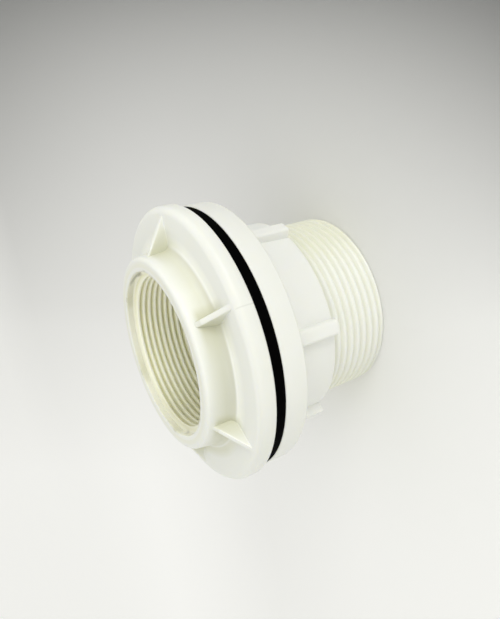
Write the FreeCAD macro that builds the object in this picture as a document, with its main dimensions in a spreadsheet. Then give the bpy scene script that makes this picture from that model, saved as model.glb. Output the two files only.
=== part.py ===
import FreeCAD, Part
import os
import Sketcher

# Driving sizes in millimetres, apart from counts and angles in degrees.
SIZES = {
    # Connector body: tail and waterway
    "tail_length": 60.0,
    "tail_diameter": 69.0,
    "tail_chamfer": 1.0,
    "tail_pitch": 3.0,
    "tail_groove_depth": 1.3,
    "tail_groove_floor": 0.6,
    "tail_groove_flank": 0.75,
    "tail_groove_run_in": 3.15,
    "waterway_diameter": 55.0,
    # Connector body: mouth and hub
    "pipe_thread_diameter": 56.656,
    "pipe_thread_length": 28.0,
    "pipe_thread_lead_in": 0.9,
    "mouth_step": 2.372,
    "mouth_depth": 2.4,
    "mouth_edge_round": 0.5,
    "hub_rim_width": 5.0,
    "hub_height": 9.8,
    "hub_taper": 1.5,
    "hub_base_fillet": 3.0,
    "hub_front_round": 1.6,
    # Connector body: flange and its gusset ribs
    "flange_width": 14.4,
    "flange_thickness": 6.5,
    "flange_rim_round": 2.7,
    "flange_back_round": 1.1,
    "rib_count": 6,
    "rib_thickness": 2.6,
    "rib_crown": 0.8,
    "rib_drop": 0.3,
    "rib_setback": 1.5,
    "rib_sink": 0.6,
    # Gasket
    "gasket_thickness": 4.3,
    "gasket_width": 14.9,
    "gasket_clearance": 0.4,
    "gasket_edge_round": 0.3,
    # Back nut
    "nut_height": 29.5,
    "nut_clearance": 0.3,
    "nut_bore_chamfer": 1.0,
    "barrel_wall": 3.1,
    "barrel_taper": 0.9,
    "barrel_end_round": 0.6,
    "nut_flange_width": 11.2,
    "nut_flange_thickness": 8.6,
    "nut_flange_round": 0.8,
    "grip_count": 6,
    "grip_width": 5.2,
    "grip_height": 2.7,
    "grip_edge_round": 0.7,
    "nut_clocking": 38.0,
}

# Distances from the axis and heights that more than one piece is set out from.
TAIL = "Sizes.tail_diameter / 2"
MOUTH = "(Sizes.pipe_thread_diameter / 2 + Sizes.mouth_step)"
HUB_FRONT = f"({MOUTH} + Sizes.hub_rim_width)"
HUB_BASE = f"({HUB_FRONT} + Sizes.hub_taper)"
FLANGE = f"({HUB_BASE} + Sizes.flange_width)"
FLANGE_BACK = "Sizes.tail_length"
FLANGE_FRONT = f"{FLANGE_BACK} + Sizes.flange_thickness"
INSIDE_FLANGE = f"{FLANGE_BACK} + Sizes.flange_thickness / 2"

FULL_TURN = 360
MATCH = 1e-3


def make_sheet(document):
    """The spreadsheet that holds every driving size under its own name."""
    sheet = document.addObject("Spreadsheet::Sheet", "Sizes")
    for row, (name, value) in enumerate(SIZES.items(), 1):
        sheet.set(f"A{row}", name)
        sheet.set(f"B{row}", str(value))
        sheet.setAlias(f"B{row}", name)
    document.recompute()
    return sheet


def new_body(document, label):
    body = document.addObject("PartDesign::Body", label)
    body.Label = label
    return body


def new_sketch(body, name, role):
    """An empty sketch on one of the body's own origin planes."""
    sketch = body.newObject("Sketcher::SketchObject", name)
    plane = next(item for item in body.Origin.OriginFeatures if item.Role == role)
    sketch.AttachmentSupport = [(plane, "")]
    sketch.MapMode = "FlatFace"
    return sketch


def bind(sketch, constraint, expression):
    index = sketch.addConstraint(constraint)
    sketch.setExpression(f"Constraints[{index}]", expression)


def upright_outline(body, name, corners):
    """A closed outline in the XZ plane. Each corner has two expressions: distance from the axis, height."""
    sketch = new_sketch(body, name, "XZ_Plane")
    places = [[float(sketch.evalExpression(place)) for place in corner] for corner in corners]
    count = len(corners)
    for index, (across, up) in enumerate(places):
        next_across, next_up = places[(index + 1) % count]
        start = FreeCAD.Vector(across, up, 0)
        end = FreeCAD.Vector(next_across, next_up, 0)
        sketch.addGeometry(Part.LineSegment(start, end))
    for index in range(count):
        sketch.addConstraint(Sketcher.Constraint("Coincident", index, 2, (index + 1) % count, 1))
    for index, (across, up) in enumerate(places):
        bind(sketch, Sketcher.Constraint("DistanceX", -1, 1, index, 1, across), corners[index][0])
        if corners[index][1] == "0":
            sketch.addConstraint(Sketcher.Constraint("PointOnObject", index, 1, -1))
        else:
            bind(sketch, Sketcher.Constraint("DistanceY", -1, 1, index, 1, up), corners[index][1])
    return sketch


def turned(body, name, sketch):
    """The solid that the outline sweeps round the upright axis."""
    feature = body.newObject("PartDesign::Revolution", name)
    feature.Profile = sketch
    feature.ReferenceAxis = (sketch, ["V_Axis"])
    feature.Angle = FULL_TURN
    body.Document.recompute()
    return feature


def ring_of(body, name, feature, count, axis_sketch):
    """The feature repeated evenly round the upright axis."""
    ring = body.newObject("PartDesign::PolarPattern", name)
    ring.Originals = [feature]
    ring.Axis = (axis_sketch, ["V_Axis"])
    ring.Angle = FULL_TURN
    ring.setExpression("Occurrences", count)
    body.Tip = ring
    body.Document.recompute()
    return ring


def rib_section(body, name, distance, top):
    """A gusset rib's section at one distance from the axis: upright sides under a crowned top."""
    sketch = new_sketch(body, name, "YZ_Plane")
    sketch.setExpression("AttachmentOffset.Base.z", distance)
    shoulder = f"{top} - Sizes.rib_crown"
    crown_radius = "Sizes.rib_crown / 2 + Sizes.rib_thickness ^ 2 / (8 * Sizes.rib_crown)"
    places = ["Sizes.rib_thickness / 2", INSIDE_FLANGE, shoulder, top]
    side, low, high, peak = [float(sketch.evalExpression(place)) for place in places]
    right = FreeCAD.Vector(side, high, 0)
    left = FreeCAD.Vector(-side, high, 0)
    right_foot = FreeCAD.Vector(side, low, 0)
    left_foot = FreeCAD.Vector(-side, low, 0)
    foot_line = sketch.addGeometry(Part.LineSegment(left_foot, right_foot))
    right_line = sketch.addGeometry(Part.LineSegment(right_foot, right))
    crown = sketch.addGeometry(Part.Arc(right, FreeCAD.Vector(0, peak, 0), left))
    left_line = sketch.addGeometry(Part.LineSegment(left, left_foot))
    outline = [foot_line, right_line, crown, left_line]
    for before, after in zip(outline, outline[1:] + outline[:1]):
        sketch.addConstraint(Sketcher.Constraint("Coincident", before, 2, after, 1))
    sketch.addConstraint(Sketcher.Constraint("Vertical", right_line))
    sketch.addConstraint(Sketcher.Constraint("Vertical", left_line))
    sketch.addConstraint(Sketcher.Constraint("Symmetric", foot_line, 1, foot_line, 2, -2))
    sketch.addConstraint(Sketcher.Constraint("PointOnObject", crown, 3, -2))
    width = Sketcher.Constraint("DistanceX", foot_line, 1, foot_line, 2, 2 * side)
    bind(sketch, width, "Sizes.rib_thickness")
    bind(sketch, Sketcher.Constraint("DistanceY", -1, 1, foot_line, 1, low), INSIDE_FLANGE)
    bind(sketch, Sketcher.Constraint("DistanceY", -1, 1, right_line, 2, high), shoulder)
    radius = float(sketch.evalExpression(crown_radius))
    bind(sketch, Sketcher.Constraint("Radius", crown, radius), crown_radius)
    return sketch


def ring_edges(feature, radius, height):
    """Names of the feature's round edges of one radius at one height."""
    names = []
    for index, edge in enumerate(feature.Shape.Edges, 1):
        curve = edge.Curve
        if curve.TypeId != "Part::GeomCircle":
            continue
        if abs(curve.Radius - radius) < MATCH and abs(curve.Center.z - height) < MATCH:
            names.append(f"Edge{index}")
    return names


def straight_edges(feature, wanted):
    """Names of the feature's straight edges whose two ends satisfy a test."""
    names = []
    for index, edge in enumerate(feature.Shape.Edges, 1):
        if edge.Curve.TypeId != "Part::GeomLine":
            continue
        if wanted(edge.Vertexes[0].Point, edge.Vertexes[-1].Point):
            names.append(f"Edge{index}")
    return names


def dress(body, kind, name, base, edges, size):
    """A fillet or chamfer of one size on some edges of the feature before it."""
    if not edges:
        raise RuntimeError(f"{name}: no edge to work on")
    feature = body.newObject(f"PartDesign::{kind}", name)
    feature.Base = (base, edges)
    feature.setExpression("Radius" if kind == "Fillet" else "Size", size)
    body.Document.recompute()
    return feature


def across_axis(point):
    return (point.x ** 2 + point.y ** 2) ** 0.5


def cut_tail_thread(body):
    """A right-hand groove that enters at the tail's end and stops one pitch short of the flange."""
    # The cutting section stands out of the tail as far as it goes in, so each flank there is twice as wide.
    start = "-Sizes.tail_groove_run_in"
    floor = f"{TAIL} - Sizes.tail_groove_depth"
    outside = f"{TAIL} + Sizes.tail_groove_depth"
    half_floor = "Sizes.tail_groove_floor / 2"
    half_mouth = f"({half_floor} + Sizes.tail_groove_flank * 2)"
    section = upright_outline(body, "groove_section", [
        (floor, f"{start} - {half_floor}"),
        (outside, f"{start} - {half_mouth}"),
        (outside, f"{start} + {half_mouth}"),
        (floor, f"{start} + {half_floor}"),
    ])
    groove = body.newObject("PartDesign::SubtractiveHelix", "tail_thread")
    groove.Profile = section
    groove.ReferenceAxis = (section, ["V_Axis"])
    groove.Mode = "pitch-height-angle"
    groove.setExpression("Pitch", "Sizes.tail_pitch")
    groove.setExpression("Height", f"{FLANGE_BACK} - Sizes.tail_pitch - ({start})")
    body.Document.recompute()


def make_connector_body(document, sheet):
    """Hub, flange and threaded tail in one piece, with gusset ribs from the hub to the flange's rim."""
    body = new_body(document, "connector_body")
    mouth = f"{FLANGE_FRONT} + Sizes.hub_height"
    mouth_floor = f"{mouth} - Sizes.mouth_depth"
    thread_top = f"{mouth_floor} - Sizes.pipe_thread_lead_in"
    thread_end = f"{thread_top} - Sizes.pipe_thread_length"
    section = upright_outline(body, "body_section", [
        ("Sizes.waterway_diameter / 2", "0"),
        (TAIL, "0"),
        (TAIL, FLANGE_BACK),
        (FLANGE, FLANGE_BACK),
        (FLANGE, FLANGE_FRONT),
        (HUB_BASE, FLANGE_FRONT),
        (HUB_FRONT, mouth),
        (MOUTH, mouth),
        (MOUTH, mouth_floor),
        ("Sizes.pipe_thread_diameter / 2", thread_top),
        ("Sizes.pipe_thread_diameter / 2", thread_end),
        ("Sizes.waterway_diameter / 2", thread_end),
    ])
    shape = turned(body, "body_turned", section)
    for kind, name, distance, height, size in [
        ("Fillet", "rim_rounded", FLANGE, FLANGE_FRONT, "Sizes.flange_rim_round"),
        ("Fillet", "flange_back_rounded", FLANGE, FLANGE_BACK, "Sizes.flange_back_round"),
        ("Fillet", "hub_foot_filleted", HUB_BASE, FLANGE_FRONT, "Sizes.hub_base_fillet"),
        ("Fillet", "hub_front_rounded", HUB_FRONT, mouth, "Sizes.hub_front_round"),
        ("Fillet", "mouth_rounded", MOUTH, mouth, "Sizes.mouth_edge_round"),
        ("Chamfer", "tail_end_chamfered", TAIL, "0", "Sizes.tail_chamfer"),
    ]:
        edges = ring_edges(shape, sheet.evalExpression(distance), sheet.evalExpression(height))
        shape = dress(body, kind, name, shape, edges, size)

    rib_top = f"{mouth} - Sizes.hub_front_round - Sizes.rib_drop"
    hub_end = rib_section(body, "rib_at_hub", HUB_FRONT, rib_top)
    rim_end = rib_section(
        body, "rib_at_rim", f"{FLANGE} - Sizes.rib_setback", f"{FLANGE_FRONT} - Sizes.rib_sink"
    )
    rib = body.newObject("PartDesign::AdditiveLoft", "head_rib")
    rib.Profile = hub_end
    rib.Sections = [rim_end]
    rib.Ruled = True
    document.recompute()
    ring_of(body, "head_ribs", rib, "Sizes.rib_count", section)
    cut_tail_thread(body)
    return body


def make_gasket(document, sheet):
    """Flat rubber washer on the tail, against the back of the flange."""
    body = new_body(document, "gasket")
    bore = f"{TAIL} + Sizes.gasket_clearance"
    rim = f"{bore} + Sizes.gasket_width"
    section = upright_outline(body, "gasket_section", [
        (bore, "0"),
        (rim, "0"),
        (rim, "Sizes.gasket_thickness"),
        (bore, "Sizes.gasket_thickness"),
    ])
    shape = turned(body, "gasket_turned", section)
    rim_radius = sheet.evalExpression(rim)
    edges = ring_edges(shape, rim_radius, 0) + ring_edges(shape, rim_radius, sheet.gasket_thickness)
    dress(body, "Fillet", "gasket_edges_rounded", shape, edges, "Sizes.gasket_edge_round")
    body.setExpression("Placement.Base.z", "Sizes.tail_length - Sizes.gasket_thickness")
    return body


def make_back_nut(document, sheet):
    """Flanged nut: a wide pressure flange on top and a barrel with grip ribs below it."""
    body = new_body(document, "back_nut")
    bore = f"{TAIL} + Sizes.nut_clearance"
    barrel_end = f"{bore} + Sizes.barrel_wall"
    barrel_base = f"{barrel_end} + Sizes.barrel_taper"
    rim = f"{barrel_base} + Sizes.nut_flange_width"
    flange_under = "Sizes.nut_height - Sizes.nut_flange_thickness"
    section = upright_outline(body, "nut_section", [
        (bore, "0"),
        (barrel_end, "0"),
        (barrel_base, flange_under),
        (rim, flange_under),
        (rim, "Sizes.nut_height"),
        (bore, "Sizes.nut_height"),
    ])
    shape = turned(body, "nut_turned", section)
    for kind, name, distance, heights, size in [
        ("Fillet", "nut_flange_rounded", rim, [flange_under], "Sizes.nut_flange_round"),
        ("Fillet", "barrel_end_rounded", barrel_end, ["0"], "Sizes.barrel_end_round"),
        ("Chamfer", "nut_bore_chamfered", bore, ["0", "Sizes.nut_height"], "Sizes.nut_bore_chamfer"),
    ]:
        edges = []
        for height in heights:
            edges += ring_edges(shape, sheet.evalExpression(distance), sheet.evalExpression(height))
        shape = dress(body, kind, name, shape, edges, size)

    inside_barrel = f"{bore} + Sizes.barrel_wall / 2"
    inside_flange = "Sizes.nut_height - Sizes.nut_flange_thickness / 2"
    grip_face = f"{barrel_base} + Sizes.grip_height"
    grip_outline = upright_outline(body, "grip_outline", [
        (inside_barrel, "Sizes.barrel_end_round"),
        (grip_face, "Sizes.barrel_end_round"),
        (grip_face, inside_flange),
        (inside_barrel, inside_flange),
    ])
    grip = body.newObject("PartDesign::Pad", "nut_grip")
    grip.Profile = grip_outline
    grip.SideType = "Symmetric"
    grip.setExpression("Length", "Sizes.grip_width")
    document.recompute()
    grips = ring_of(body, "nut_grips", grip, "Sizes.grip_count", section)

    corner = (sheet.evalExpression(grip_face) ** 2 + (sheet.grip_width / 2) ** 2) ** 0.5

    def on_corner(one, other):
        return abs(across_axis(one) - corner) < MATCH and abs(across_axis(other) - corner) < MATCH

    edges = straight_edges(grips, on_corner)
    dress(body, "Fillet", "grip_edges_rounded", grips, edges, "Sizes.grip_edge_round")
    clocking = FreeCAD.Rotation(FreeCAD.Vector(0, 0, 1), sheet.nut_clocking)
    body.Placement = FreeCAD.Placement(FreeCAD.Vector(), clocking)
    body.setExpression("Placement.Base.z", "Sizes.tail_length - Sizes.gasket_thickness - Sizes.nut_height")
    body.setExpression("Placement.Rotation.Angle", "Sizes.nut_clocking * 1 deg")
    return body


def check(document, bodies):
    """Stops if any step of the document failed or a piece has no sound solid."""
    for item in document.Objects:
        if "Invalid" in item.State or "Error" in item.State:
            raise RuntimeError(f"{item.Label}: {item.State}")
    for body in bodies:
        if body.Shape.isNull() or not body.Shape.isValid() or len(body.Shape.Solids) != 1:
            raise RuntimeError(f"{body.Label}: no sound solid")


def main():
    document = FreeCAD.newDocument("tank_connector")
    sheet = make_sheet(document)
    bodies = [
        make_connector_body(document, sheet),
        make_gasket(document, sheet),
        make_back_nut(document, sheet),
    ]
    document.recompute()
    check(document, bodies)
    os.makedirs("parts", exist_ok=True)
    for body in bodies:
        body.Shape.exportStep(f"parts/{body.Label}.step")


main()
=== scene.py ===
"""Looks of a tank connector: a threaded tube with a ribbed head flange, a rubber gasket and a back nut."""

import math

import bmesh
import bpy
from mathutils import Matrix, Vector


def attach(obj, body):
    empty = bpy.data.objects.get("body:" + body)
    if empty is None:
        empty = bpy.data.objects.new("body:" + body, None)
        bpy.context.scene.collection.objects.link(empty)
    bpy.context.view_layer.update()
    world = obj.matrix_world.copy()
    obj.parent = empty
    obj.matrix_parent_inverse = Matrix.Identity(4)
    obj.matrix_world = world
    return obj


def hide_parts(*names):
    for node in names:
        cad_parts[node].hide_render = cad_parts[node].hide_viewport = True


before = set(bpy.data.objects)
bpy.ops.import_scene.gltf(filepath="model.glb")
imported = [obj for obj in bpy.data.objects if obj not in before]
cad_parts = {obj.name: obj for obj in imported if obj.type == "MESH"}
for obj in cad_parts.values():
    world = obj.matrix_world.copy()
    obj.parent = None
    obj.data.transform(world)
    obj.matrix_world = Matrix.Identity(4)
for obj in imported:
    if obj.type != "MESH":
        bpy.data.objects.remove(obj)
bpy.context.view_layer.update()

# Sizes in millimetres, heights above the tail's end
MM = 0.001
SEGMENTS = 144
ROUND_STEPS = 6
WELD_DISTANCE = 2e-6
SLIVER_LENGTH = 1e-8
SHARP_ANGLE = math.radians(40)

TAIL_RADIUS = 34.5
TAIL_CHAMFER = 1.0
TAIL_TOP = 60.0
TAIL_PITCH = 3.0
TAIL_GROOVE_HEIGHT = -0.15
TAIL_GROOVE_DEPTH = 1.3
TAIL_GROOVE_SHARPNESS = 1.9
TAIL_BOTTOM_RUNOUT = 0.8
TAIL_TOP_RUNOUT = 2.0
WATERWAY_RADIUS = 27.5

MOUTH_HEIGHT = 76.3
MOUTH_RADIUS = 30.7
MOUTH_FLOOR = 73.9
MOUTH_LEAD_IN = 0.9
MOUTH_EDGE_ROUND = 0.5
PIPE_THREAD_RADIUS = 28.328
PIPE_THREAD_DEPTH = 1.479
PIPE_THREAD_PITCH = 2.309
PIPE_THREAD_BOTTOM = 45.0
PIPE_GROOVE_HEIGHT = 1.467
PIPE_GROOVE_SHARPNESS = 2.1
PIPE_BOTTOM_RUNOUT = 2.0
THREAD_ROWS = 14
ROW_GATHERING = 0.6
NO_RUNOUT = 1e-4
OUTER = -1.0
INNER = 1.0
NO_FLARE = 0.0
NO_FLARE_LENGTH = 1.0

HUB_FRONT_RADIUS = 35.7
HUB_BASE_RADIUS = 37.2
HUB_FRONT_ROUND = 1.6
HUB_BASE_FILLET = 3.0
FLANGE_RADIUS = 51.6
FLANGE_FRONT = 66.5
FLANGE_RIM_ROUND = 2.7
FLANGE_BACK_ROUND = 1.1

RIB_COUNT = 6
RIB_THICKNESS = 1.7
RIB_CROWN = 0.25
RIB_CROWN_SHARPNESS = 2.0
RIB_STEPS = 9
RIB_FLANK_SLOPE = 0.25
RIB_INNER_CREST = 74.4
RIB_OUTER_RADIUS = 50.1
RIB_OUTER_CREST = 65.9
RIB_FOOT = 63.0

GASKET_INNER_RADIUS = 34.9
GASKET_OUTER_RADIUS = 49.8
GASKET_BOTTOM = 55.7
GASKET_EDGE_ROUND = 0.3

NUT_FOOT = 26.2
NUT_FACE = 55.7
NUT_BORE_RADIUS = 34.8
NUT_BORE_CHAMFER = 1.0
NUT_THREAD_ROWS = 12
BARREL_FOOT_RADIUS = 37.9
BARREL_TOP_RADIUS = 38.8
BARREL_END_ROUND = 0.6
NUT_FLANGE_RADIUS = 50.0
NUT_FACE_ROUND = 0.3
NUT_FLANGE_UNDERSIDE = 47.1
NUT_FLANGE_ROUND = 0.8
GRIP_COUNT = 6
GRIP_WIDTH = 5.2
GRIP_RADIUS = 41.5
GRIP_INNER_RADIUS = 36.35
GRIP_FOOT = 26.8
GRIP_TOP = 49.0
GRIP_EDGE_DROP = 0.7
GRIP_EDGE_SHARPNESS = 8.0
GRIP_FLANK_SLOPE = 0.0
GRIP_STEPS = 13
GRIP_FIRST_ANGLE = 38.0

FLOOR_FLAT = 4000.0
FLOOR_BEND = 4000.0
FLOOR_EDGE = 7000.0
FLOOR_RISE = 2500.0

# Where the body's painted shade, painted highlights and tints lie, each as a place and a soft width, in
# millimetres or degrees
FRONT_ANGLE = -85.0
UNDERSIDE_ANGLE = (115.0, 30.0)
HEAD_HEIGHT = (65.5, 1.0)
HUB_WALL_RADIUS = (38.4, 0.6)
HUB_WALL_HEIGHT = (75.6, 6.0)
HUB_FRONT = (0.75, 0.25)
FOOT_RING_INSIDE = (38.2, 0.6)
FOOT_RING_OUTSIDE = (43.0, 3.0)
FOOT_RING_HEIGHT = (68.0, 0.5)
CORNER_START = 2.5
CORNER_WIDTH = 5.0
CORNER_LEAST_WIDTH = 3.0
CORNER_LEAN = 0.5
CORNER_DEPTH = (0.3, 1.5)
CORNER_RADIUS = (45.0, 8.0)
FLANK_HALF_WIDTH = 1.2
FLANK_SOFT = 0.3
FLANK_DEPTH = (0.3, 0.6)
FLANK_RADIUS = (51.0, 12.0)
FLANK_HEIGHT = (66.6, 0.3)
RIM_RADIUS = (50.0, 0.8)
RIM_FRONT = (0.4, 0.4)
PARTING_ANGLE = (-61.7, 0.4)
TAIL_HEIGHT = (58.0, 1.0)
TAIL_WALL_RADIUS = (31.0, 0.5)
TAIL_EDGE_START = (0.89, 0.35)
TAIL_EDGE_END = (-0.75, 0.5)
TAIL_GROOVE_FLOOR = (32.0, 0.5)
MOUTH_WALL_RADIUS = (MOUTH_RADIUS + 0.2, 0.4)
PIPE_THREAD_END = (MOUTH_FLOOR, 0.8)
LOW_SIDE_ANGLE = (125.0, 40.0)
RECESS_HEIGHT = (MOUTH_FLOOR - 0.5, 0.5)
# Painted shadow under the mouth's lip where the thread starts, and painted shade low on the recess
THREAD_START_SHADOW_ANGLE = (32.0, 13.0)
THREAD_START_SHADOW_LEVEL_ANGLE = 22.0
THREAD_START_SHADOW_CLIMB = 0.07
THREAD_START_SHADOW_SOFT = 0.8
LOW_RECESS_SHADE_ANGLE = (-166.0, 4.0)
LOW_RECESS_SHADE_HEIGHT = (75.5, 0.5)

# Where the nut's tints and painted shade lie, in the same way
NUT_RIM_RADIUS = (45.0, 1.0)
NUT_BACK_HEIGHT = (NUT_FLANGE_UNDERSIDE + 0.7, 0.4)
NUT_BACK_RADIUS = (47.0, 0.5)
NUT_BORE_WALL = (NUT_BORE_RADIUS + 0.4, 1.5)

# Where the floor's painted shade and painted glow lie: the fan's point in metres, and its shares across and
# along
FAN_X = 0.055
FAN_Y = -0.278
FAN_LEAST_REACH = 0.05
FAN_RANGE = (-1.0, 0.8)
FAN_DARKEST = 0.22
FAN_SHADE = 0.24
FAN_STEEPNESS = 4.45
FAN_END = (0.8, 0.58)
SIDE_MIDDLE = 3.15
SIDE_HALF = 1.85
SIDE_END = (4.0, 2.8)
SHADE_REACH = (1.7, 0.85)
FLOOR_CORNER_SHADE = 0.27
FLOOR_CORNER_FAN = (-0.24, 0.44)
FLOOR_CORNER_SIDE = -0.1
FLOOR_CORNER_MOST = 1.4
PAINTED_GLOW_FAN = (-0.2, 0.3)
PAINTED_GLOW_SIDE = (-0.2, 0.6)

# Light and camera, in metres and watts
LIGHT_DISTANCE = 0.9
LIGHT_WIDTH = 0.5
LIGHT_AIM = (0.0, 0.0, 0.04)
KEY_POWER = 2.85
FILL_POWER = 0.55
FRONT_POWER = 0.55
WORLD_STRENGTH = 0.81
CAMERA_PLACE = (0.0752, -0.1894, 0.1407)
CAMERA_RIGHT = (-0.1315, -0.5122, -0.8488)
CAMERA_FORWARD = (-0.3042, 0.8357, -0.4572)
CAMERA_LENS = 33.95
CAMERA_SENSOR = 36.0
CAMERA_CLIP = (0.005, 50.0)


class Tree:
    """A node tree that the script fills, for a shape or a material."""

    def __init__(self, tree):
        self.tree = tree

    def node(self, kind, settings=(), sockets=(), out=0):
        """Adds a node: its settings, then a value or a wire for each socket. Gives one output."""
        node = self.tree.nodes.new(kind)
        for name, value in dict(settings).items():
            setattr(node, name, value)
        for name, value in dict(sockets).items():
            if isinstance(value, Wire):
                self.tree.links.new(value.socket, node.inputs[name])
            else:
                node.inputs[name].default_value = value
        return Wire(self, node.outputs[out])

    def math(self, operation, *values):
        return self.node("ShaderNodeMath", {"operation": operation}, enumerate(values))

    def vector(self, x, y, z):
        return self.node("ShaderNodeCombineXYZ", {}, {0: x, 1: y, 2: z})


class Wire:
    """A socket that plain arithmetic works on; each step adds a Math node."""

    def __init__(self, tree, socket):
        self.tree = tree
        self.socket = socket

    def __add__(self, other):
        return self.tree.math("ADD", self, other)

    def __radd__(self, other):
        return self.tree.math("ADD", other, self)

    def __sub__(self, other):
        return self.tree.math("SUBTRACT", self, other)

    def __rsub__(self, other):
        return self.tree.math("SUBTRACT", other, self)

    def __mul__(self, other):
        return self.tree.math("MULTIPLY", self, other)

    def __rmul__(self, other):
        return self.tree.math("MULTIPLY", other, self)

    def __truediv__(self, other):
        return self.tree.math("DIVIDE", self, other)

    def __rtruediv__(self, other):
        return self.tree.math("DIVIDE", other, self)

    def __pow__(self, other):
        return self.tree.math("POWER", self, other)

    def __rpow__(self, other):
        return self.tree.math("POWER", other, self)

    def least(self, other):
        return self.tree.math("MINIMUM", self, other)

    def most(self, other):
        return self.tree.math("MAXIMUM", self, other)

    def floor(self):
        return self.tree.math("FLOOR", self)

    def ceiling(self):
        return self.tree.math("CEIL", self)

    def sine(self):
        return self.tree.math("SINE", self)

    def cosine(self):
        return self.tree.math("COSINE", self)

    def size(self):
        return self.tree.math("ABSOLUTE", self)

    def share(self):
        return self.most(0.0).least(1.0)

    def rises(self, place, width):
        """A share that is 0 up to a place and 1 from a width beyond it."""
        return ((self - place) / width).share()

    def falls(self, place, width):
        """A share that is 0 from a place on and 1 up to a width before it."""
        return ((place - self) / width).share()

    def near(self, place, width):
        """A share that is 1 at a place and 0 from a width away."""
        return (1.0 - (self - place).size() / width).share()


# Shapes by geometry nodes
def shape_tree(name, whole_numbers, lengths):
    """An empty shape tree with named inputs; gives the tree and its inputs' wires."""
    group = bpy.data.node_groups.new(name, "GeometryNodeTree")
    group.interface.new_socket("Geometry", in_out="INPUT", socket_type="NodeSocketGeometry")
    for label in whole_numbers:
        group.interface.new_socket(label, in_out="INPUT", socket_type="NodeSocketInt")
    for label in lengths:
        group.interface.new_socket(label, in_out="INPUT", socket_type="NodeSocketFloat")
    group.interface.new_socket("Material", in_out="INPUT", socket_type="NodeSocketMaterial")
    group.interface.new_socket("Geometry", in_out="OUTPUT", socket_type="NodeSocketGeometry")
    tree = Tree(group)
    inputs = group.nodes.new("NodeGroupInput")
    return tree, {socket.name: Wire(tree, socket) for socket in inputs.outputs if socket.name}


def close_tree(tree, shape, material):
    """Welds the shape, makes it real and gives it its material."""
    welded = tree.node("GeometryNodeMergeByDistance", {}, {"Geometry": shape, "Distance": WELD_DISTANCE})
    real = tree.node("GeometryNodeRealizeInstances", {}, {"Geometry": welded})
    finished = tree.node("GeometryNodeSetMaterial", {}, {"Geometry": real, "Material": material})
    output = tree.tree.nodes.new("NodeGroupOutput")
    tree.tree.links.new(finished.socket, output.inputs["Geometry"])
    return tree.tree


def round_the_axis(tree, grid, radius, turn_share, height):
    """Moves a grid's points to a radius, a share of a turn and a height."""
    angle = turn_share * math.tau
    place = tree.vector(radius * angle.cosine(), radius * angle.sine(), height)
    return tree.node("GeometryNodeSetPosition", {}, {"Geometry": grid, "Position": place})


def turned_tree():
    """Turns a section, with its corners rounded, about the axis."""
    tree, given = shape_tree("turned_section", ["Segments", "Round Steps"], [])
    outline = tree.node("GeometryNodeMeshToCurve", {}, {0: given["Geometry"]})
    rounding = tree.node("GeometryNodeInputNamedAttribute", {"data_type": "FLOAT"}, {"Name": "corner_round"})
    outline = tree.node("GeometryNodeFilletCurve", {"mode": "POLY"},
                        {"Curve": outline, "Count": given["Round Steps"], "Radius": rounding,
                         "Limit Radius": True})
    rows = tree.node("GeometryNodeAttributeDomainSize", {"component": "CURVE"}, {"Geometry": outline})
    grid = tree.node("GeometryNodeMeshGrid", {}, {"Vertices X": given["Segments"] + 1, "Vertices Y": rows})
    index = tree.node("GeometryNodeInputIndex")
    column = ((index + 0.5) / rows).floor()
    row = index - column * rows
    place = tree.node("GeometryNodeInputPosition")
    corner = tree.node("GeometryNodeSampleIndex", {"data_type": "FLOAT_VECTOR", "domain": "POINT"},
                       {"Geometry": outline, "Value": place, "Index": row})
    radius = tree.node("ShaderNodeSeparateXYZ", {}, {"Vector": corner}, "X")
    height = tree.node("ShaderNodeSeparateXYZ", {}, {"Vector": corner}, "Z")
    shape = round_the_axis(tree, grid, radius, column / given["Segments"], height)
    return close_tree(tree, shape, given["Material"])


def thread_tree():
    """A right-hand thread as a sleeve whose rows climb with it, flared or run out at its ends."""
    tree, given = shape_tree(
        "thread", ["Segments", "Rows per Turn"],
        ["Side", "Radius", "Depth", "Pitch", "Groove Height", "Groove Sharpness", "Bottom", "Top",
         "Bottom Flare", "Bottom Flare Length", "Top Flare", "Top Flare Length",
         "Bottom Runout", "Top Runout"])
    side, radius, pitch = given["Side"], given["Radius"], given["Pitch"]
    bottom, top, groove_height = given["Bottom"], given["Top"], given["Groove Height"]
    turns = ((top - bottom) / pitch).ceiling() + 2
    rows = turns * given["Rows per Turn"] + 1
    grid = tree.node("GeometryNodeMeshGrid", {}, {"Vertices X": given["Segments"] + 1, "Vertices Y": rows})
    index = tree.node("GeometryNodeInputIndex")
    column = ((index + 0.5) / rows).floor()
    turn_share = column / given["Segments"]
    climb = (index - column * rows) / given["Rows per Turn"]
    gathered = climb - ROW_GATHERING / (2 * math.tau) * (climb * (2 * math.tau)).sine()
    first_turn = ((bottom - groove_height) / pitch).floor() - 1
    height = (groove_height + pitch * (first_turn + gathered + turn_share)).most(bottom).least(top)
    wave = 0.5 + 0.5 * (((height - groove_height) / pitch - turn_share) * math.tau).cosine()
    above, below = height - bottom, top - height
    runout = (above / given["Bottom Runout"]).share() * (below / given["Top Runout"]).share()
    cut = radius + given["Depth"] * wave ** given["Groove Sharpness"] * runout
    bottom_flare = radius + side * given["Bottom Flare"] * (1 - above / given["Bottom Flare Length"])
    top_flare = radius + side * given["Top Flare"] * (1 - below / given["Top Flare Length"])
    wall = side * (side * cut).most(side * bottom_flare).most(side * top_flare)
    shape = round_the_axis(tree, grid, wall, turn_share, height)
    return close_tree(tree, shape, given["Material"])


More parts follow.
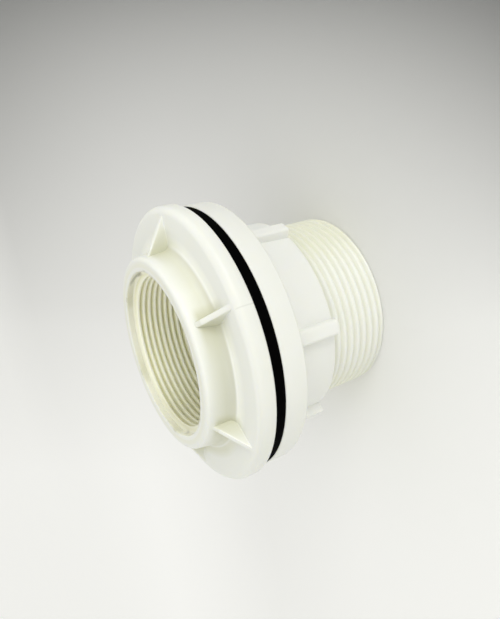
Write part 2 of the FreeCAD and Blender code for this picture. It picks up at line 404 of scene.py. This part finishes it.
def bars_tree():
    """Bars with a softened crest, set round the axis: radial ones, or upright ones on a barrel."""
    tree, given = shape_tree(
        "bars_round_axis", ["Count", "Steps Across"],
        ["First Angle", "Upright", "Start", "End", "Foot", "Crest at Start", "Crest at End", "Thickness",
         "Flank Slope", "Edge Drop", "Edge Sharpness"])
    block = tree.node("GeometryNodeMeshCube", {},
                      {"Vertices X": 2, "Vertices Y": given["Steps Across"], "Vertices Z": 2})
    place = tree.node("GeometryNodeInputPosition")
    along, across, up = (tree.node("ShaderNodeSeparateXYZ", {}, {0: place}, axis) for axis in "XYZ")
    along, up = along + 0.5, up + 0.5
    spread = (across * math.pi).sine()
    drop = given["Edge Drop"] * spread.size() ** given["Edge Sharpness"]
    crest = given["Crest at Start"] + (given["Crest at End"] - given["Crest at Start"]) * along - drop
    length = given["Start"] + (given["End"] - given["Start"]) * along
    rise = given["Foot"] + (crest - given["Foot"]) * up
    width = (given["Thickness"] * 0.5 + given["Flank Slope"] * (crest - rise)) * spread
    bar_place = tree.node("ShaderNodeMix", {"data_type": "VECTOR"},
                          {0: given["Upright"], 4: tree.vector(length, width, rise),
                           5: tree.vector(rise, width, length)}, 1)
    bar = tree.node("GeometryNodeSetPosition", {}, {"Geometry": block, "Position": bar_place})
    stations = tree.node("GeometryNodePoints", {}, {"Count": given["Count"]})
    index = tree.node("GeometryNodeInputIndex")
    turn = tree.vector(0.0, 0.0, given["First Angle"] + index / given["Count"] * math.tau)
    bars = tree.node("GeometryNodeInstanceOnPoints", {},
                     {"Points": stations, "Instance": bar, "Rotation": turn})
    return close_tree(tree, bars, given["Material"])


def grown(name, group, values, start=None):
    """The plain mesh that a tree gives for these values, lengths in metres."""
    holder = bpy.data.objects.new(name, start or bpy.data.meshes.new(name))
    bpy.context.scene.collection.objects.link(holder)
    modifier = holder.modifiers.new(name, "NODES")
    modifier.node_group = group
    for item in group.interface.items_tree:
        if item.in_out == "INPUT" and item.name in values:
            modifier[item.identifier] = values[item.name]
    depsgraph = bpy.context.evaluated_depsgraph_get()
    made = bpy.data.meshes.new_from_object(holder.evaluated_get(depsgraph))
    holder.modifiers.remove(modifier)
    bpy.data.objects.remove(holder)
    return made


def section(name, corners):
    """A line of corners (radius, height, rounding) in millimetres, for the turned tree."""
    mesh = bpy.data.meshes.new(name)
    points = [(radius * MM, 0.0, height * MM) for radius, height, _ in corners]
    mesh.from_pydata(points, [(i, i + 1) for i in range(len(points) - 1)], [])
    rounding = mesh.attributes.new("corner_round", "FLOAT", "POINT")
    rounding.data.foreach_set("value", [corner[2] * MM for corner in corners])
    return mesh


def turned(name, corners, material):
    return grown(name, TURNED, {"Segments": SEGMENTS, "Round Steps": ROUND_STEPS, "Material": material},
                 section(name + "_section", corners))


def threaded(name, rows_per_turn, material, side, sharpness, **lengths):
    values = {"Segments": SEGMENTS, "Rows per Turn": rows_per_turn, "Material": material, "Side": side,
              "Groove Sharpness": sharpness}
    values.update({key.replace("_", " ").title(): size * MM for key, size in lengths.items()})
    return grown(name, THREAD, values)


def welded(name, meshes):
    """Several meshes as one closed shell with its faces outwards."""
    shell = bmesh.new()
    for mesh in meshes:
        shell.from_mesh(mesh)
    bmesh.ops.remove_doubles(shell, verts=shell.verts, dist=WELD_DISTANCE)
    bmesh.ops.dissolve_degenerate(shell, edges=shell.edges, dist=SLIVER_LENGTH)
    bmesh.ops.recalc_face_normals(shell, faces=shell.faces)
    for face in shell.faces:
        face.material_index = 0
    made = bpy.data.meshes.new(name)
    shell.to_mesh(made)
    shell.free()
    made.materials.append(meshes[0].materials[-1])
    return made


def piece(name, shell, bars=None):
    """A finished object: the shell, joined with its bars, shaded smooth except at its edges."""
    made = bpy.data.objects.new(name, shell)
    bpy.context.scene.collection.objects.link(made)
    if bars:
        tool = bpy.data.objects.new(name + "_bars", bars)
        bpy.context.scene.collection.objects.link(tool)
        union = made.modifiers.new("union", "BOOLEAN")
        union.operation = "UNION"
        union.solver = "MANIFOLD"
        union.object = tool
        depsgraph = bpy.context.evaluated_depsgraph_get()
        joined = bpy.data.meshes.new_from_object(made.evaluated_get(depsgraph))
        made.modifiers.remove(union)
        bpy.data.objects.remove(tool)
        made.data = joined
    made.data.polygons.foreach_set("use_smooth", [True] * len(made.data.polygons))
    made.data.set_sharp_from_angle(angle=SHARP_ANGLE)
    made.data.update()
    return made


# Finishes
def finish(name, **constants):
    """A material with the plain shader; gives the material, its tree and its shader node."""
    material = bpy.data.materials.new(name)
    material.use_nodes = True
    shader = material.node_tree.nodes["Principled BSDF"]
    for key, value in constants.items():
        shader.inputs[key.replace("_", " ").title().replace("Ior", "IOR")].default_value = value
    return material, Tree(material.node_tree), shader


def mixed(tree, share, first, second):
    """A colour between two, by a share from 0 to 1."""
    return tree.node("ShaderNodeMix", {"data_type": "RGBA"}, {0: share, 6: first, 7: second}, 2)


def axis_place(tree):
    """Object coordinates, and from them radius and height in millimetres and the angle in degrees."""
    place = tree.node("ShaderNodeTexCoord", {}, {}, "Object")
    x, y, z = (tree.node("ShaderNodeSeparateXYZ", {}, {0: place}, axis) for axis in "XYZ")
    radius = (x * x + y * y) ** 0.5 / MM
    return place, radius, z / MM, tree.math("ARCTAN2", y, x) * math.degrees(1.0)


def noise(tree, place, scale, detail):
    return tree.node("ShaderNodeTexNoise", {}, {"Vector": place, "Scale": scale, "Detail": detail}, "Fac")


def rib_distance(angle, radius):
    """How far past the nearest head rib's middle plane a point is, round the axis, in millimetres."""
    steps = angle * (RIB_COUNT / 360.0)
    return (steps - (steps + 0.5).floor()) * (math.tau / RIB_COUNT) * radius


def moulded(tree, shader, place, colour):
    """Joins a colour to the shader, with the soft waviness and fine grain of a moulded surface."""
    grain = noise(tree, place, 2400.0, 2.0)
    waves = noise(tree, place, 140.0, 1.0)
    bump = tree.node("ShaderNodeBump", {},
                     {"Strength": 0.12, "Distance": 0.0004, "Height": grain * 0.25 + waves})
    tree.tree.links.new(colour.socket, shader.inputs["Base Color"])
    tree.tree.links.new((0.36 + 0.12 * waves).socket, shader.inputs["Roughness"])
    tree.tree.links.new(bump.socket, shader.inputs["Normal"])


def body_cream():
    """Cream plastic with painted shade: darker and yellower on the hub wall, in the corners beside the ribs
    and on their flanks, on the rim's front, on the tail's sides turned from the front, in the grooves and on
    the mouth's low side, with painted shadow under the mouth's lip. Painted highlights lie on the hub's foot
    ring and the mouth's thread crests, and the marks of its mould are added.
    """
    material, tree, shader = finish("body_cream_plastic", **PLASTIC_DEPTH)
    place, radius, height, angle = axis_place(tree)
    front = ((angle - FRONT_ANGLE) * math.radians(1.0)).cosine()
    mottle = noise(tree, place, 55.0, 3.0)
    colour = mixed(tree, mottle, (0.812, 0.822, 0.767, 1.0), (0.836, 0.846, 0.797, 1.0))

    on_head = height.rises(*HEAD_HEIGHT)
    # Painted shade: the hub wall darker and yellower, darkest where it faces the front.
    hub_wall_shade = radius.falls(*HUB_WALL_RADIUS) * height.falls(*HUB_WALL_HEIGHT) * on_head
    colour = mixed(tree, hub_wall_shade, colour, (0.69, 0.695, 0.58, 1.0))
    colour = mixed(tree, hub_wall_shade * front.rises(*HUB_FRONT) * 0.8, colour, (0.60, 0.605, 0.50, 1.0))
    # Painted highlight on the hub's foot ring, turning to painted shade on its underside.
    foot_ring = radius.rises(*FOOT_RING_INSIDE) * radius.falls(*FOOT_RING_OUTSIDE) * on_head
    underneath = angle.size().rises(*UNDERSIDE_ANGLE)
    ring_highlight_and_shade = mixed(tree, underneath, (0.93, 0.94, 0.87, 1.0), (0.73, 0.735, 0.61, 1.0))
    colour = mixed(tree, foot_ring * height.falls(*FOOT_RING_HEIGHT), colour, ring_highlight_and_shade)

    # Painted shade in the corners beside each rib, reaching further on its side of lower angle, and on the
    # ribs' flanks.
    past_rib = rib_distance(angle, radius)
    crest_fall = (RIB_INNER_CREST - RIB_OUTER_CREST) / (RIB_OUTER_RADIUS - HUB_FRONT_RADIUS)
    below_crest = RIB_INNER_CREST - crest_fall * (radius - HUB_FRONT_RADIUS) - height
    corner_width = (CORNER_WIDTH - past_rib * CORNER_LEAN).most(CORNER_LEAST_WIDTH)
    shaded_side = (1.0 - (past_rib.size() - CORNER_START).most(0.0) / corner_width).share()
    corner = shaded_side * below_crest.rises(*CORNER_DEPTH) * radius.falls(*CORNER_RADIUS) * on_head
    colour = mixed(tree, corner * 0.75, colour, (0.56, 0.56, 0.40, 1.0))
    flank_edge = FLANK_HALF_WIDTH + RIB_FLANK_SLOPE * below_crest
    rib_flank_shade = past_rib.size().falls(flank_edge, FLANK_SOFT) * below_crest.rises(*FLANK_DEPTH)
    rib_flank_shade = rib_flank_shade * radius.falls(*FLANK_RADIUS) * height.rises(*FLANK_HEIGHT)
    colour = mixed(tree, rib_flank_shade * 0.75, colour, (0.58, 0.585, 0.44, 1.0))

    on_rim = radius.rises(*RIM_RADIUS)
    # Painted shade on the rim where it faces the front.
    colour = mixed(tree, on_rim * front.rises(*RIM_FRONT) * 0.5, colour, (0.74, 0.748, 0.69, 1.0))
    parting_line = angle.near(*PARTING_ANGLE) * on_rim
    colour = mixed(tree, parting_line * 0.6, colour, (0.62, 0.63, 0.57, 1.0))

    # Painted shade on the tail's sides turned from the front, and in the grooves of its thread.
    on_tail = height.falls(*TAIL_HEIGHT) * radius.rises(*TAIL_WALL_RADIUS)
    tail_edge_shade = front.falls(*TAIL_EDGE_START) * front.rises(*TAIL_EDGE_END)
    colour = mixed(tree, on_tail * tail_edge_shade * 0.75, colour, (0.78, 0.785, 0.64, 1.0))
    tail_groove_shade = radius.falls(TAIL_RADIUS, TAIL_GROOVE_DEPTH) * radius.rises(*TAIL_GROOVE_FLOOR)
    colour = mixed(tree, tail_groove_shade * 0.5, colour, (0.78, 0.78, 0.63, 1.0))

    # Inside the mouth: a painted highlight on the thread's crests, painted shade darker and yellower in its
    # grooves and on the low side, and one even tone on the recess wall.
    pipe_groove_shade = radius.rises(PIPE_THREAD_RADIUS, PIPE_THREAD_DEPTH) * height.falls(*PIPE_THREAD_END)
    inside = mixed(tree, pipe_groove_shade, (1.0, 0.995, 0.85, 1.0), (0.83, 0.82, 0.57, 1.0))
    low_side_shade = angle.size().rises(*LOW_SIDE_ANGLE)
    inside = mixed(tree, low_side_shade * 0.6, inside, (0.60, 0.59, 0.41, 1.0))
    recess = height.rises(*RECESS_HEIGHT)
    inside = mixed(tree, recess, inside, (0.84, 0.83, 0.68, 1.0))
    # Painted shadow under the mouth's lip where the thread starts, and painted shade on the recess's low
    # side, both nearly black.
    thread_start_shadow_height = MOUTH_FLOOR + THREAD_START_SHADOW_CLIMB * (angle - THREAD_START_SHADOW_LEVEL_ANGLE)
    thread_start_shadow = (angle.near(*THREAD_START_SHADOW_ANGLE) * height.near(thread_start_shadow_height, THREAD_START_SHADOW_SOFT) * 3.0).share()
    low_recess_shade = angle.near(*LOW_RECESS_SHADE_ANGLE) * height.falls(*LOW_RECESS_SHADE_HEIGHT) * recess
    inside = mixed(tree, thread_start_shadow + low_recess_shade * 0.6, inside, (0.33, 0.32, 0.22, 1.0))
    colour = mixed(tree, radius.falls(*MOUTH_WALL_RADIUS), colour, inside)
    moulded(tree, shader, place, colour)
    return material


def nut_cream():
    """A whiter plastic than the body's, darker towards its rim, with painted shadow along the flange's back
    edge and painted shade that makes the bore darker and yellower.
    """
    material, tree, shader = finish("nut_cream_plastic", **PLASTIC_DEPTH)
    place, radius, height, _ = axis_place(tree)
    mottle = noise(tree, place, 55.0, 3.0)
    colour = mixed(tree, mottle, (0.81, 0.817, 0.775, 1.0), (0.83, 0.837, 0.80, 1.0))
    colour = mixed(tree, radius.rises(*NUT_RIM_RADIUS) * 0.5, colour, (0.765, 0.772, 0.715, 1.0))
    # Painted shadow along the flange's back edge.
    back_edge_shadow = height.falls(*NUT_BACK_HEIGHT) * radius.rises(*NUT_BACK_RADIUS)
    colour = mixed(tree, back_edge_shadow, colour, (0.74, 0.745, 0.68, 1.0))
    # Painted shade in the bore, darker and yellower.
    colour = mixed(tree, radius.falls(*NUT_BORE_WALL) * 0.7, colour, (0.74, 0.73, 0.58, 1.0))
    moulded(tree, shader, place, colour)
    return material


def black_rubber():
    material, tree, shader = finish("black_rubber", specular_ior_level=0.01)
    place = tree.node("ShaderNodeTexCoord", {}, {}, "Object")
    mottle = noise(tree, place, 300.0, 3.0)
    grain = noise(tree, place, 3500.0, 2.0)
    colour = mixed(tree, mottle, (0.0004, 0.0004, 0.0004, 1.0), (0.0016, 0.0016, 0.0016, 1.0))
    bump = tree.node("ShaderNodeBump", {}, {"Strength": 0.2, "Distance": 0.0002, "Height": grain})
    tree.tree.links.new(colour.socket, shader.inputs["Base Color"])
    tree.tree.links.new((0.55 + 0.25 * grain).socket, shader.inputs["Roughness"])
    tree.tree.links.new(bump.socket, shader.inputs["Normal"])
    return material


PLASTIC_DEPTH = {"subsurface_weight": 0.2, "subsurface_radius": (1.0, 0.9, 0.5),
                 "subsurface_scale": 0.0015}
BODY_CREAM = body_cream()
NUT_CREAM = nut_cream()
RUBBER = black_rubber()
TURNED = turned_tree()
THREAD = thread_tree()
BARS = bars_tree()


# The three pieces
def make_connector_body():
    tail_end = turned("tail_end", [
        (PIPE_THREAD_RADIUS, PIPE_THREAD_BOTTOM, 0.0),
        (WATERWAY_RADIUS, PIPE_THREAD_BOTTOM, 0.0),
        (WATERWAY_RADIUS, 0.0, 0.0),
        (TAIL_RADIUS - TAIL_CHAMFER, 0.0, 0.0),
    ], BODY_CREAM)
    tail = threaded(
        "tail_thread", THREAD_ROWS, BODY_CREAM, OUTER, TAIL_GROOVE_SHARPNESS,
        radius=TAIL_RADIUS, depth=-TAIL_GROOVE_DEPTH, pitch=TAIL_PITCH, groove_height=TAIL_GROOVE_HEIGHT,
        bottom=0.0, top=TAIL_TOP, bottom_flare=TAIL_CHAMFER, bottom_flare_length=TAIL_CHAMFER,
        top_flare=NO_FLARE, top_flare_length=NO_FLARE_LENGTH,
        bottom_runout=TAIL_BOTTOM_RUNOUT, top_runout=TAIL_TOP_RUNOUT)
    head = turned("head", [
        (TAIL_RADIUS, TAIL_TOP, 0.0),
        (FLANGE_RADIUS, TAIL_TOP, FLANGE_BACK_ROUND),
        (FLANGE_RADIUS, FLANGE_FRONT, FLANGE_RIM_ROUND),
        (HUB_BASE_RADIUS, FLANGE_FRONT, HUB_BASE_FILLET),
        (HUB_FRONT_RADIUS, MOUTH_HEIGHT, HUB_FRONT_ROUND),
        (MOUTH_RADIUS, MOUTH_HEIGHT, MOUTH_EDGE_ROUND),
        (MOUTH_RADIUS, MOUTH_FLOOR, 0.0),
    ], BODY_CREAM)
    pipe_thread = threaded(
        "pipe_thread", THREAD_ROWS, BODY_CREAM, INNER, PIPE_GROOVE_SHARPNESS,
        radius=PIPE_THREAD_RADIUS, depth=PIPE_THREAD_DEPTH, pitch=PIPE_THREAD_PITCH,
        groove_height=PIPE_GROOVE_HEIGHT, bottom=PIPE_THREAD_BOTTOM, top=MOUTH_FLOOR,
        bottom_flare=NO_FLARE, bottom_flare_length=NO_FLARE_LENGTH,
        top_flare=MOUTH_RADIUS - PIPE_THREAD_RADIUS, top_flare_length=MOUTH_LEAD_IN,
        bottom_runout=PIPE_BOTTOM_RUNOUT, top_runout=NO_RUNOUT)
    ribs = grown("head_ribs", BARS, {
        "Count": RIB_COUNT, "Steps Across": RIB_STEPS, "First Angle": 0.0, "Upright": 0.0,
        "Start": HUB_FRONT_RADIUS * MM, "End": RIB_OUTER_RADIUS * MM, "Foot": RIB_FOOT * MM,
        "Crest at Start": RIB_INNER_CREST * MM, "Crest at End": RIB_OUTER_CREST * MM,
        "Thickness": RIB_THICKNESS * MM, "Flank Slope": RIB_FLANK_SLOPE, "Edge Drop": RIB_CROWN * MM,
        "Edge Sharpness": RIB_CROWN_SHARPNESS, "Material": BODY_CREAM})
    shell = welded("connector_body_shell", [tail_end, tail, head, pipe_thread])
    return piece("flanged_threaded_body", shell, welded("head_ribs", [ribs]))


def make_gasket():
    ring = turned("gasket_ring", [
        (GASKET_INNER_RADIUS, GASKET_BOTTOM, 0.0),
        (GASKET_OUTER_RADIUS, GASKET_BOTTOM, GASKET_EDGE_ROUND),
        (GASKET_OUTER_RADIUS, TAIL_TOP, GASKET_EDGE_ROUND),
        (GASKET_INNER_RADIUS, TAIL_TOP, 0.0),
        (GASKET_INNER_RADIUS, GASKET_BOTTOM, 0.0),
    ], RUBBER)
    return piece("rubber_gasket", welded("gasket_shell", [ring]))


def make_back_nut():
    barrel = turned("nut_barrel", [
        (NUT_BORE_RADIUS + NUT_BORE_CHAMFER, NUT_FOOT, 0.0),
        (BARREL_FOOT_RADIUS, NUT_FOOT, BARREL_END_ROUND),
        (BARREL_TOP_RADIUS, NUT_FLANGE_UNDERSIDE, 0.0),
        (NUT_FLANGE_RADIUS, NUT_FLANGE_UNDERSIDE, NUT_FLANGE_ROUND),
        (NUT_FLANGE_RADIUS, NUT_FACE, NUT_FACE_ROUND),
        (NUT_BORE_RADIUS + NUT_BORE_CHAMFER, NUT_FACE, 0.0),
    ], NUT_CREAM)
    nut_thread = threaded(
        "nut_thread", NUT_THREAD_ROWS, NUT_CREAM, INNER, TAIL_GROOVE_SHARPNESS,
        radius=NUT_BORE_RADIUS, depth=-TAIL_GROOVE_DEPTH, pitch=TAIL_PITCH, groove_height=TAIL_GROOVE_HEIGHT,
        bottom=NUT_FOOT, top=NUT_FACE, bottom_flare=NUT_BORE_CHAMFER, bottom_flare_length=NUT_BORE_CHAMFER,
        top_flare=NUT_BORE_CHAMFER, top_flare_length=NUT_BORE_CHAMFER,
        bottom_runout=NO_RUNOUT, top_runout=NO_RUNOUT)
    grips = grown("nut_grips", BARS, {
        "Count": GRIP_COUNT, "Steps Across": GRIP_STEPS, "First Angle": math.radians(GRIP_FIRST_ANGLE),
        "Upright": 1.0,
        "Start": GRIP_FOOT * MM, "End": GRIP_TOP * MM, "Foot": GRIP_INNER_RADIUS * MM,
        "Crest at Start": GRIP_RADIUS * MM, "Crest at End": GRIP_RADIUS * MM,
        "Thickness": GRIP_WIDTH * MM, "Flank Slope": GRIP_FLANK_SLOPE, "Edge Drop": GRIP_EDGE_DROP * MM,
        "Edge Sharpness": GRIP_EDGE_SHARPNESS, "Material": NUT_CREAM})
    shell = welded("back_nut_shell", [barrel, nut_thread])
    return piece("flanged_back_nut", shell, welded("nut_grips", [grips]))


for made, node, slot in ((make_connector_body(), "connector_body", "cream_plastic"),
                         (make_gasket(), "gasket", "black_rubber"),
                         (make_back_nut(), "back_nut", "cream_plastic")):
    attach(made, node)
    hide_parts(node)


# Floor, light and camera
def make_floor():
    """A pale sweep that is flat under the part and rises far off, with painted shade that darkens it as a
    fan towards +X and deeper at its corners, and a faint painted glow towards -X.
    """
    material, tree, shader = finish("pale_floor", roughness=0.9, emission_strength=1.0)
    place = tree.node("ShaderNodeTexCoord", {}, {}, "Object")
    x, y = (tree.node("ShaderNodeSeparateXYZ", {}, {0: place}, axis) for axis in "XY")
    reach = (y - FAN_Y).most(FAN_LEAST_REACH)
    fan = ((x - FAN_X) / reach).most(FAN_RANGE[0]).least(FAN_RANGE[1])
    side = (1.0 / reach - SIDE_MIDDLE) / SIDE_HALF
    distance = (x * x + y * y) ** 0.5
    nearby = distance.falls(*SHADE_REACH) * fan.falls(*FAN_END) * side.falls(*SIDE_END)
    # Painted shade: a fan that darkens the floor towards +X, deeper at the corners, fading out far off.
    aside = side - FLOOR_CORNER_SIDE
    corners = FLOOR_CORNER_SHADE * fan.rises(*FLOOR_CORNER_FAN) * (aside * aside).least(FLOOR_CORNER_MOST)
    fan_shade_band = FAN_SHADE * math.e ** (FAN_STEEPNESS * fan.least(FAN_DARKEST))
    shade = (fan_shade_band * (1.0 - corners) + corners) * nearby
    colour = mixed(tree, shade, (0.95, 0.95, 0.935, 1.0), (0.0, 0.0, 0.0, 1.0))
    tree.tree.links.new(colour.socket, shader.inputs["Base Color"])
    # Painted light: the floor glows faintly towards -X and far along +Y.
    painted_glow = fan.falls(*PAINTED_GLOW_FAN) * side.falls(*PAINTED_GLOW_SIDE)
    painted_glow_colour = mixed(tree, painted_glow, (0.0, 0.0, 0.0, 1.0), (0.1, 0.1, 0.1, 1.0))
    tree.tree.links.new(painted_glow_colour.socket, shader.inputs["Emission Color"])
    sweep = turned("floor", [
        (0.0, 0.0, 0.0),
        (FLOOR_FLAT, 0.0, FLOOR_BEND),
        (FLOOR_EDGE, FLOOR_RISE, 0.0),
    ], material)
    floor = piece("floor", welded("floor_sweep", [sweep]))


def make_light(name, towards, power):
    """A round soft light that faces the part from one side."""
    light = bpy.data.lights.new(name, "AREA")
    light.shape = "DISK"
    light.size = LIGHT_WIDTH
    light.energy = power
    made = bpy.data.objects.new(name, light)
    direction = Vector(towards).normalized()
    made.location = Vector(LIGHT_AIM) + direction * LIGHT_DISTANCE
    made.rotation_euler = (-direction).to_track_quat("-Z", "Y").to_euler()
    bpy.context.scene.collection.objects.link(made)


def make_world(strength):
    world = bpy.data.worlds.new("studio")
    world.use_nodes = True
    background = world.node_tree.nodes["Background"]
    background.inputs["Color"].default_value = (1.0, 1.0, 0.97, 1.0)
    background.inputs["Strength"].default_value = strength
    bpy.context.scene.world = world


def make_camera():
    """The photograph's view, with the part's axis lying across the picture."""
    data = bpy.data.cameras.new("camera")
    data.sensor_width = CAMERA_SENSOR
    data.lens = CAMERA_LENS
    data.clip_start, data.clip_end = CAMERA_CLIP
    camera = bpy.data.objects.new("camera", data)
    forward = Vector(CAMERA_FORWARD).normalized()
    up = Vector(CAMERA_RIGHT).cross(forward).normalized()
    right = forward.cross(up)
    turn = Matrix((right, up, -forward)).transposed().to_4x4()
    camera.matrix_world = Matrix.Translation(Vector(CAMERA_PLACE)) @ turn
    bpy.context.scene.collection.objects.link(camera)
    bpy.context.scene.camera = camera


make_floor()
make_light("key", (0.837, -0.515, 0.181), KEY_POWER)
make_light("fill", (-0.452, -0.731, 0.511), FILL_POWER)
make_light("front", (0.15, -0.60, 0.785), FRONT_POWER)
make_world(WORLD_STRENGTH)
make_camera()
bpy.context.scene.view_settings.view_transform = "Standard"
